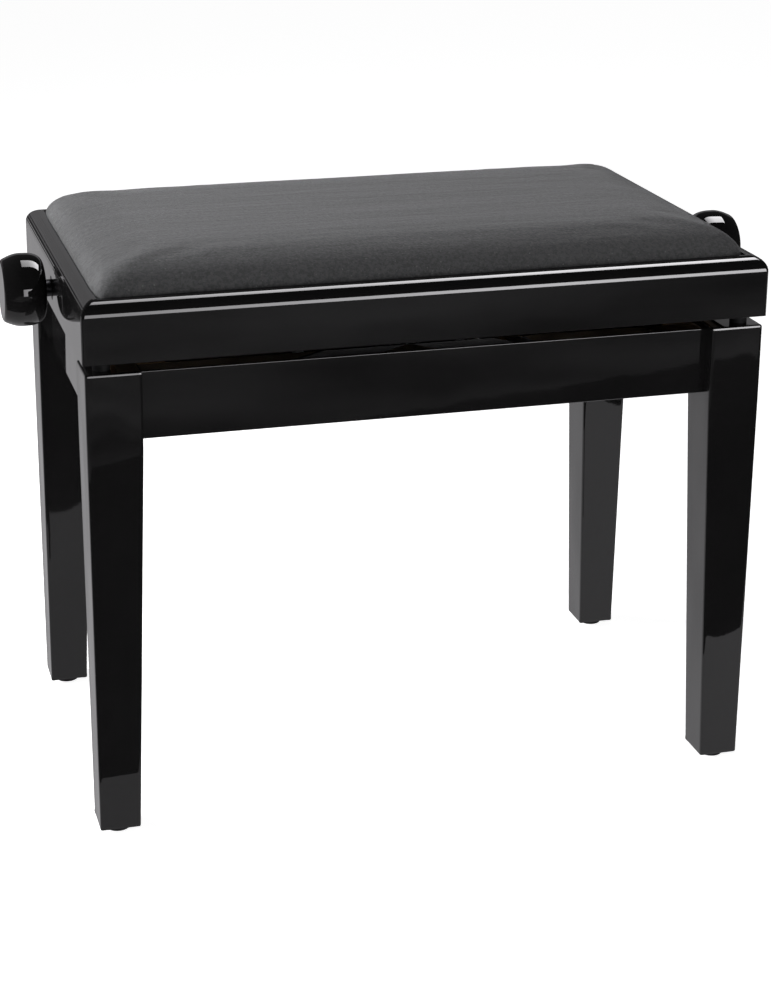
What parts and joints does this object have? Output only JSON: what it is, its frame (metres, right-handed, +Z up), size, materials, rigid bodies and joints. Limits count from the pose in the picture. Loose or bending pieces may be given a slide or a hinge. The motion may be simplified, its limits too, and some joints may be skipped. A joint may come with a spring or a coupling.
{
  "type": "piano bench",
  "caption": "Adjustable piano bench with a crowned velvet seat, a gloss black square-legged base, and knobs that turn a spindle to raise the seat on a scissor lift",
  "frame": {"origin": "on the floor under the middle of the bench", "axes": "+X along the bench to its right end, +Y from the front of the bench to its back, +Z up"},
  "size_m": [0.642, 0.33, 0.4695],
  "materials": {
    "black_lacquer": "black polyester lacquer on hardwood, polished to a mirror gloss",
    "beech": "planed beech, unfinished",
    "plywood": "birch plywood",
    "black_rubber": "hard black rubber, matt",
    "foam": "upholstery foam",
    "velvet": "charcoal velvet with a brushed nap",
    "nylon": "natural nylon",
    "black_nylon": "black nylon",
    "brass": "turned brass",
    "black_screws": "blackened steel",
    "spindle_steel": "blackened steel rod, cut thread",
    "channel_paint": "black powder-coated steel channel",
    "arm_paint": "black powder-coated steel bar",
    "black_board": "hardboard, painted matt black",
    "screw_steel": "zinc plated screws",
    "pin_steel": "turned steel"
  },
  "bodies": {
    "base": {"leg_front_left": "black_lacquer", "leg_front_right": "black_lacquer", "leg_back_left": "black_lacquer", "leg_back_right": "black_lacquer", "apron_front": "black_lacquer", "apron_back": "black_lacquer", "apron_left": "black_lacquer", "apron_right": "black_lacquer", "corner_blocks": "beech", "base_panel": "black_board", "panel_screws": "screw_steel", "leg_bolts": "pin_steel", "leg_washers": "pin_steel", "leg_nuts": "pin_steel", "glides": "black_rubber", "glide_nails": "screw_steel", "stop_pads": "black_rubber", "lower_channel_front": "channel_paint", "lower_channel_back": "channel_paint", "lower_channel_screws": "screw_steel", "lower_pivot_pins": "pin_steel"},
    "outer_scissor": {"outer_arm_front": "arm_paint", "outer_arm_back": "arm_paint", "centre_pins": "pin_steel", "outer_tie_rod": "pin_steel"},
    "inner_scissor": {"inner_arm_front": "arm_paint", "inner_arm_back": "arm_paint", "inner_tie_rod": "pin_steel", "lower_roller_pins": "pin_steel", "lower_rollers": "nylon"},
    "nut_carriage": {"crossbars": "pin_steel", "spindle_nut": "brass", "upper_rollers": "nylon"},
    "seat": {"upper_channel_front": "channel_paint", "upper_channel_back": "channel_paint", "upper_channel_screws": "screw_steel", "upper_pivot_pins": "pin_steel", "seat_rail_front": "black_lacquer", "seat_rail_back": "black_lacquer", "seat_rail_left": "black_lacquer", "seat_rail_right": "black_lacquer", "cleat_front": "beech", "cleat_back": "beech", "cleat_left": "beech", "cleat_right": "beech", "cleat_screws": "screw_steel", "seat_board": "plywood", "board_screws": "screw_steel", "foam_pad": "foam", "velvet_cover": "velvet", "spindle_bushes": "black_nylon"},
    "spindle_and_knobs": {"spindle": "spindle_steel", "thrust_collars": "pin_steel", "collar_screws": "black_screws", "knob_left": "black_lacquer", "knob_right": "black_lacquer", "knob_screws": "black_screws"}
  },
  "joints": [
    {"name": "scissor_lift", "type": "hinge", "parent": "base", "child": "outer_scissor", "pos_m": [-0.12, 0, 0.346], "axis": [0, -1, 0], "range_deg": [0, 26.55]},
    {"name": "scissor_centre", "type": "hinge", "parent": "outer_scissor", "child": "inner_scissor", "pos_m": [-0.00537, 0, 0.3815], "axis": [0, -1, 0], "range_deg": [-53.13, 0]},
    {"name": "seat_pivot", "type": "hinge", "parent": "inner_scissor", "child": "seat", "pos_m": [-0.12, 0, 0.417], "axis": [0, -1, 0], "range_deg": [0, 26.57]},
    {"name": "crossbar_pivot", "type": "hinge", "parent": "outer_scissor", "child": "nut_carriage", "pos_m": [0.10926, 0, 0.417], "axis": [0, -1, 0], "range_deg": [-26.57, 0]},
    {"name": "spindle_turn", "type": "hinge", "parent": "seat", "child": "spindle_and_knobs", "pos_m": [0, 0, 0.417], "axis": [1, 0, 0], "range_deg": [0, 6711.08]}
  ],
  "couplings": [
    {"joint": "spindle_turn", "follows": "scissor_lift", "ratio": 252.73},
    {"joint": "scissor_centre", "follows": "scissor_lift", "ratio": -2},
    {"joint": "seat_pivot", "follows": "scissor_lift", "ratio": 1},
    {"joint": "crossbar_pivot", "follows": "scissor_lift", "ratio": -1}
  ]
}
